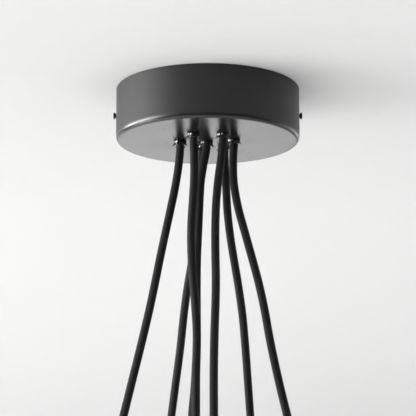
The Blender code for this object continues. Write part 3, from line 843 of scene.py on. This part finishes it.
for side in (-1, 1):
    slot = block("fixing_slot", (16 - 5.2, 5.2, 8), centre=(0, 0, 0))
    ends = []
    for way in (-1, 1):
        end = rod("slot_end", 2.6, 8, 32)
        end.matrix_world = shift(way * (16 - 5.2) / 2, 0, 0)
        ends.append(end)
    joined(slot, ends, "UNION")
    slot.matrix_world = shift(side * 42.0, 0, -1)
    cutters.append(slot)
    hole = rod("tapped_hole", 2.35, 8, 32)
    hole.matrix_world = shift(side * 86.6, 0, SCREW_Z) @ Matrix.Rotation(math.pi / 2, 4, "Y")
    cutters.append(hole)
for x in (5.0, -66.0):
    hole = rod("small_hole", 1.95, 8, 32)
    hole.matrix_world = shift(x, 0, -1)
    cutters.append(hole)
joined(strap, cutters, sharp=35.0)
place(strap, Matrix.Identity(4), "canopy", "zinc", "ceiling_bracket")

# ------------------------------------------------------ terminal block, screws
BLOCK_Z = -8.3
base = block("terminal_block_body", (30, 16, 6.5), [BLOCK_WHITE], 0.6,
             centre=(0, 0, BLOCK_Z + 2.75))
towers = [block("tower", (8.6, 11, 8), [BLOCK_WHITE], 1.6, 4, centre=(x, 0, BLOCK_Z - 1.85))
          for x in (-10, 0, 10)]
joined(base, towers, "UNION", sharp=50.0)
cutters = []
for x in (-10, 0, 10):
    way = rod("way", 2.1, 30, 32)
    way.matrix_world = shift(x, 0, BLOCK_Z) @ Matrix.Rotation(math.pi / 2, 4, "X")
    cutters.append(way)
    for y in (-3.1, 3.1):
        well = rod("well", 1.45, 6, 24)
        well.matrix_world = shift(x, y, BLOCK_Z - 5.5)
        cutters.append(well)
way = rod("screw_way", 1.8, 30, 32)
way.matrix_world = shift(5, 0, BLOCK_Z)
cutters.append(way)
joined(base, cutters, sharp=50.0)
place(base, Matrix.Identity(4), "canopy", "white_plastic", "terminal_block")

fixing = slotted(2.7, 2.2, 1.4, 14.0, 0.7, "terminal_block_fixing", [ZINC], slot_w=0.7,
                 slot_d=0.9, sides=36)
place(fixing, shift(5, 0, -14.6) @ Matrix.Rotation(math.pi, 4, "X"), "canopy", "zinc",
      "terminal_block_screw")
earth = slotted(3.4, 2.2, 1.5, 2.0, 0.6, "earth_screw_brass", [BRASS], slot_w=0.8,
                slot_d=0.9, sides=36)
place(earth, shift(-66, 0, -2.3) @ Matrix.Rotation(math.pi, 4, "X"), "canopy", "brass",
      "earth_screw")

# ---------------------------------------------------------------- lead bundle
# Three cores of each cord run up to the crimped sleeve, twisted together.
SLEEVE_TOP = BLOCK_Z - 12
sleeve = lathe("lead_bundle_sleeve", rounded([
    (0, SLEEVE_TOP), (5.0, SLEEVE_TOP, 1.2), (5.0, SLEEVE_TOP - 2.6, 0.3),
    (4.6, SLEEVE_TOP - 3.2, 0.3), (4.6, SLEEVE_TOP - 4.6, 0.3), (5.0, SLEEVE_TOP - 5.2, 0.3),
    (5.0, SLEEVE_TOP - 9, 1.2), (0, SLEEVE_TOP - 9)], step=15.0), 48, [SHRINK], closed=False)
place(sleeve, Matrix.Identity(4), "canopy", "lead", "lead_bundle")
CORES = (("brown", CORE_BROWN), ("blue", CORE_BLUE), ("earth", CORE_EARTH))
runs = {}
for key in sorted(GRIPS):
    x, y, _ = GRIPS[key]
    foot = Vector((x, y, CORD_TOP_Z + 0.3))
    top = Vector((0, 0, SLEEVE_TOP - 5))
    if key == "C":
        runs[key] = [foot, foot.lerp(top, 0.5), top]
    else:
        runs[key] = [foot, foot + Vector((0, 0, 3.5)), foot.lerp(top, 0.35) + Vector((0, 0, 2.5)),
                     foot.lerp(top, 0.7) + Vector((0, 0, 1.5)), top]
for key, points in runs.items():
    line = smooth_route([p * MM for p in points], 0.7 * MM, 24)
    tangent, side, up = carried_frames(line)
    along = np.concatenate([[0.0], np.cumsum(np.linalg.norm(np.diff(line, axis=0), axis=1))])
    for index, (colour, look) in enumerate(CORES):
        spin = 2 * math.pi * (index / 3 + along / 0.030)
        core_line = line + 0.86 * MM * (np.cos(spin)[:, None] * side + np.sin(spin)[:, None] * up)
        core = swept("core_%s_%s" % (key, colour), core_line,
                     lambda a, s: np.full_like(a, 0.78 * MM), 14, [look],
                     turns=1.0, pitch=0.006)
        place(core, Matrix.Identity(4), "canopy", "lead")
for side_sign, colour, look in ((-1, "blue", CORE_BLUE), (1, "brown", CORE_BROWN)):
    points = [(side_sign * 2, 0, SLEEVE_TOP - 3), (side_sign * 4.5, -4, SLEEVE_TOP + 1.2),
              (side_sign * 8.5, -11, SLEEVE_TOP + 4.5), (side_sign * 10, -13, BLOCK_Z - 1),
              (side_sign * 10, -10, BLOCK_Z), (side_sign * 10, -3.5, BLOCK_Z)]
    line = smooth_route([Vector(p) * MM for p in points], 0.6 * MM, 24)
    feed = swept("feed_" + colour, line, lambda a, s: np.full_like(a, 1.2 * MM), 18, [look],
                 turns=1.0, pitch=0.006)
    place(feed, Matrix.Identity(4), "canopy", "lead")

# --------------------------------------------------------- shapes of a pendant
# The cap's top is at z = 0 and everything is below it.
cap_shape = lathe("lamp_cap_A_turned", rounded([
    (4.2, 0, 0), (6.2, 0, 0.8), (6.2, -9.4, 1.2), (13, -12, 4.0), (19, -20, 5.0),
    (19, -46, 0.3), (17.8, -46, 0.3), (17.8, -20.6, 4.0), (12.4, -13.3, 3.0),
    (4.2, -10.5, 0.3)], step=8.0), 112, [CAP_PAINT])
clamp = rod("clamp_hole", 1.6, 6, 24)
clamp.matrix_world = shift(6.2, 0, -4.6) @ Matrix.Rotation(math.pi / 2, 4, "Y")
joined(cap_shape, [clamp])

THREAD_LOW, THREAD_HIGH = -61.2, -49.4
holder_profile = rounded([
    (0, -4.3), (3.6, -4.3, 0.6), (3.6, -15, 0.8), (10, -15, 1.5), (14, -21, 2.0),
    (14, -46.3, 0.5), (18.9, -46.3, 0.5), (18.9, -48.6, 0.5), (14, -48.6, 0.2),
    (14, -49.2)], step=15.0)
holder_profile += [(r * MM, z * MM) for r, z in ladder(14, THREAD_HIGH, THREAD_LOW, 0.33)]
holder_profile += rounded([(14, -61.4), (14, -62, 0.4), (7.6, -62, 0.6), (7.6, -33),
                           (0, -33)], step=20.0)
holder_shape = lathe("lamp_holder_A_moulded", holder_profile, 96, [HOLDER], closed=False,
                     shape=thread(14, 0.5, 2.0, THREAD_LOW, THREAD_HIGH))


def on_sphere(radius, degrees):
    return (radius * math.sin(math.radians(degrees)),
            -GLASS_CENTRE + radius * math.cos(math.radians(degrees)))


mouth_out = 180 - math.degrees(math.asin(MOUTH_R / GLASS_R))
mouth_in = 180 - math.degrees(math.asin(MOUTH_R / (GLASS_R - GLASS_WALL)))
wall = [(GLASS_HOLE_R, -GLASS_TOP - 0.35), (GLASS_HOLE_R + 0.35, -GLASS_TOP)]
neck_out = on_sphere(GLASS_R, 25)
for k in range(1, 7):
    t = k / 7
    wall.append((GLASS_HOLE_R + (neck_out[0] - GLASS_HOLE_R) * t,
                 -GLASS_TOP + (neck_out[1] + GLASS_TOP) * t))
count = 44
wall += [on_sphere(GLASS_R, 25 + (mouth_out - 25) * i / count) for i in range(count + 1)]
lip_centre = ((on_sphere(GLASS_R, mouth_out)[0] + on_sphere(GLASS_R - GLASS_WALL, mouth_in)[0]) / 2,
              (on_sphere(GLASS_R, mouth_out)[1] + on_sphere(GLASS_R - GLASS_WALL, mouth_in)[1]) / 2)
for k in range(1, 8):
    angle = math.pi * k / 8
    start = Vector(on_sphere(GLASS_R, mouth_out)) - Vector(lip_centre)
    out = Vector((start.y, -start.x)).normalized()
    if out.y > 0:
        out = -out
    spot = Vector(lip_centre) + start * math.cos(angle) + out * start.length * math.sin(angle) * 0.9
    wall.append(tuple(spot))
wall += [on_sphere(GLASS_R - GLASS_WALL, mouth_in - (mouth_in - 27) * i / count)
         for i in range(count + 1)]
wall += [(GLASS_HOLE_R + 0.35, -GLASS_TOP - GLASS_WALL), (GLASS_HOLE_R, -GLASS_TOP - GLASS_WALL + 0.35)]
globe_shape = lathe("glass_globe_A_blown", [(r * MM, z * MM) for r, z in wall], 128, [GLASS],
                    sharp=60.0)


def ribbed(angle, r, z):
    """Finger ribs round the shade ring's skirt."""
    if r / MM < 17.6:
        return r
    return r - 0.42 * MM * (0.5 - 0.5 * math.cos(30 * angle)) ** 2


ring_top = GLASS_TOP + GLASS_WALL + 0.9
ring_shape = lathe("shade_ring_A_moulded", rounded([
    (14.6, -ring_top, 0.2), (15.8, -ring_top, 0.4), (18.2, -ring_top - 1.7, 0.5),
    (18.2, -ring_top - 6.5, 0.6), (14.6, -ring_top - 6.5, 0.4)], step=15.0), 240, [RING_PAINT],
    shape=ribbed)

bulb_points = rounded([
    (0, -33.6), (2.6, -33.6, 0.5), (3.0, -34.6, 0.3), (6.0, -36.6, 0.4),
    (6.8, -37.4)], step=20.0)
bulb_points += [(r * MM, z * MM) for r, z in ladder(6.8, -38.0, -53.0, 0.4)]
bulb_points += rounded([(6.8, -53.4), (6.8, -59.0, 0.5), (6.45, -60.0, 0.3), (6.9, -60.6, 0.4)],
                       step=20.0)
neck, start = (8.6, -65.0), 50
for k in range(1, 9):
    t = k / 8
    a, b = Vector((6.9, -60.6)), Vector(neck)
    c = Vector((22.5 * math.sin(math.radians(start)),
                -91.0 + 22.5 * math.cos(math.radians(start))))
    # a smooth shoulder from the collar into the ball
    p = a * (1 - t) ** 2 + b * 2 * t * (1 - t) + c * t * t
    bulb_points.append((p.x * MM, p.y * MM))
for k in range(1, 40):
    degrees = start + (180 - start) * k / 39
    bulb_points.append((max(0.0, 22.5 * math.sin(math.radians(degrees))) * MM if k < 39 else 0.0,
                        (-91.0 + 22.5 * math.cos(math.radians(degrees))) * MM))


def bulb_zone(r, z):
    z = z / MM
    if z < -60.2:
        return 0
    if z > -34.3:
        return 1
    if z > -36.9:
        return 2
    return 1


bulb_shape = lathe("bulb_A_opal", bulb_points, 96, [OPAL, NICKEL, INSULATOR], closed=False,
                   shape=thread(6.8, 0.55, 2.82, -53.0, -38.0), zone=bulb_zone)

# M3 set screw that clamps the cord in the cap's nipple: a plain end, a socket
grub_shape = lathe("cord_clamp_A_grub", rounded([
    (0, 6.0), (1.5, 6.0, 0.2), (1.5, 4.35, 0.3), (0, 4.35)], step=20.0), 36, [SCREW_BLACK],
    closed=False)
socket = rod("socket", 0.8, 2.0, 6)
socket.matrix_world = shift(0, 0, 6.0)
joined(grub_shape, [socket])
grub_shape.data.transform(shift(0, 0, -4.6) @ Matrix.Rotation(math.pi / 2, 4, "Y"))

# Each pendant's pieces hang on the end of its cord. Their meshes are moved
# there, so that no object is tilted.
for key in sorted(ROUTES):
    hang, body = HANG[key], "pendant_" + key
    for shape, kind, ending, slot, owner in (
            (cap_shape, "lamp_cap", "turned", "black_paint", body),
            (grub_shape, "cord_clamp", "grub", "black_screw", body),
            (holder_shape, "lamp_holder", "moulded", "holder_plastic", body),
            (globe_shape, "glass_globe", "blown", "glass", body),
            (ring_shape, "shade_ring", "moulded", "black_paint", body),
            (bulb_shape, "bulb", "opal", "opal", "lamp_" + key)):
        shape.name = "%s_shape" % kind
        piece = copy_of(shape, "%s_%s_%s" % (kind, key, ending), hang)
        nodes = [] if kind == "cord_clamp" else ["%s_%s" % (kind, key)]
        place(piece, Matrix.Identity(4), owner, slot, *nodes)
for shape in (cap_shape, grub_shape, holder_shape, globe_shape, ring_shape, bulb_shape):
    bpy.data.objects.remove(shape, do_unlink=True)


# ---------------------------------------------------------------------- stage
def one_sided(name, tone, roughness, grain):
    """A stage surface that only its front shows, so no view is blocked."""
    look = Look(name, (tone, tone, tone), roughness)
    look.set("Specular IOR Level", 0.2)
    fine = look.noise(grain, 4.0, 0.6)
    look.to(look.mixed(look.spread(fine, 0.0, 1.0), (tone * 0.985,) * 3, (tone,) * 3), "Base Color")
    clear = look.node("ShaderNodeBsdfTransparent")
    side = look.node("ShaderNodeNewGeometry")
    mix = look.node("ShaderNodeMixShader")
    look.link(side.outputs["Backfacing"], mix.inputs[0])
    look.link(look.shader.outputs[0], mix.inputs[1])
    look.link(clear.outputs[0], mix.inputs[2])
    end = next(n for n in look.tree.nodes if n.type == "OUTPUT_MATERIAL")
    look.link(mix.outputs[0], end.inputs["Surface"])
    return look.mat


def plane_with_hole(name, half_x, y0, y1, z, hole, look, facing_down):
    made = bmesh.new()
    sides = 96
    ring = [made.verts.new((hole * math.cos(2 * math.pi * k / sides),
                            hole * math.sin(2 * math.pi * k / sides), 0)) for k in range(sides)]
    edge = []
    for k in range(sides):
        a = 2 * math.pi * k / sides
        c, s = math.cos(a), math.sin(a)
        reach = min(half_x / max(abs(c), 1e-9), (y1 if s > 0 else -y0) / max(abs(s), 1e-9))
        edge.append(made.verts.new((reach * c, reach * s, 0)))
    for k in range(sides):
        n = (k + 1) % sides
        quad = (ring[k], edge[k], edge[n], ring[n])
        made.faces.new(tuple(reversed(quad)) if facing_down else quad)
    mesh = bpy.data.meshes.new(name)
    made.to_mesh(mesh)
    made.free()
    mesh.materials.append(look)
    obj = bpy.data.objects.new(name, mesh)
    obj.location = (0, 0, z)
    bpy.context.scene.collection.objects.link(obj)
    return obj


CEILING = one_sided("stage_ceiling_white", 0.57, 0.8, 60.0)
FLOOR = one_sided("stage_floor_pale", 0.80, 0.6, 8.0)
plane_with_hole("stage_ceiling", 3.4, -2.2, 5.0, 0.0003, 0.0885, CEILING, True)
floor = bpy.data.meshes.new("stage_floor")
floor.from_pydata([(-5, -5, 0), (5, -5, 0), (5, 6, 0), (-5, 6, 0)], [], [(0, 1, 2, 3)])
floor.materials.append(FLOOR)
ground = bpy.data.objects.new("stage_floor", floor)
ground.location = (0, 0, -2.2)
bpy.context.scene.collection.objects.link(ground)


# --------------------------------------------------------------------- lights
def area(name, location, target, size, power, tint=(1, 1, 1)):
    data = bpy.data.lights.new(name, "AREA")
    data.shape = "RECTANGLE"
    data.size, data.size_y = size
    data.energy = power
    data.color = tint
    obj = bpy.data.objects.new(name, data)
    obj.location = location
    aim = Vector(target) - Vector(location)
    obj.rotation_euler = aim.to_track_quat("-Z", "Y").to_euler()
    obj.visible_camera = False
    obj.visible_transmission = False
    bpy.context.scene.collection.objects.link(obj)
    return obj


area("window_top", (-4.2, -0.05, -0.25), (0.0, 0.0, -0.05), (4.6, 0.44), 335.0, (1.0, 0.998, 0.99))
area("window", (-4.1, -0.3, -1.7), (0.0, 0.0, -0.05), (2.2, 1.1), 58.0, (1.0, 0.998, 0.99))
area("window_low", (-3.4, 0.9, -2.1), (0.0, 0.0, -0.05), (2.0, 1.0), 18.0)
area("right_top", (2.7, 3.0, -0.22), (0.0, 0.0, -0.05), (2.2, 0.36), 9.0)
area("right_wall", (3.4, 1.6, -1.2), (0.0, 0.0, -0.05), (3.0, 1.2), 9.0)
area("far_side", (-1.3, 3.5, -1.25), (0.0, 0.0, -0.05), (3.6, 1.5), 20.0)
area("floor_fill", (0.0, -0.1, -2.15), (0.0, -0.1, 0.0), (5.0, 3.6), 37.0)

# A pale room: dim behind the camera, brighter ahead of it.
world = bpy.data.worlds.new("studio")
world.use_nodes = True
tree = world.node_tree
around = tree.nodes["Background"]
around.inputs["Strength"].default_value = 1.0
direction = tree.nodes.new("ShaderNodeTexCoord")
parts = tree.nodes.new("ShaderNodeSeparateXYZ")
tree.links.new(direction.outputs["Generated"], parts.inputs[0])
depth = tree.nodes.new("ShaderNodeMapRange")
depth.inputs["From Min"].default_value = -1.0
depth.inputs["From Max"].default_value = 1.0
depth.inputs["To Min"].default_value = 0.0
depth.inputs["To Max"].default_value = 1.0
tree.links.new(parts.outputs["Y"], depth.inputs["Value"])
tone = tree.nodes.new("ShaderNodeValToRGB")
ramp = tone.color_ramp
ramp.elements[0].position, ramp.elements[0].color = 0.15, (0.06, 0.06, 0.06, 1.0)
ramp.elements[1].position, ramp.elements[1].color = 0.75, (0.75, 0.75, 0.75, 1.0)
tree.links.new(depth.outputs["Result"], tone.inputs["Fac"])
tree.links.new(tone.outputs["Color"], around.inputs["Color"])
# what the eye meets directly past the stage's edges is plain and pale
backdrop = tree.nodes.new("ShaderNodeBackground")
backdrop.inputs["Color"].default_value = (0.86, 0.86, 0.86, 1.0)
seen = tree.nodes.new("ShaderNodeLightPath")
chosen = tree.nodes.new("ShaderNodeMixShader")
tree.links.new(seen.outputs["Is Camera Ray"], chosen.inputs[0])
tree.links.new(around.outputs[0], chosen.inputs[1])
tree.links.new(backdrop.outputs[0], chosen.inputs[2])
tree.links.new(chosen.outputs[0], tree.nodes["World Output"].inputs["Surface"])
bpy.context.scene.world = world
bpy.context.scene.view_settings.view_transform = "Standard"
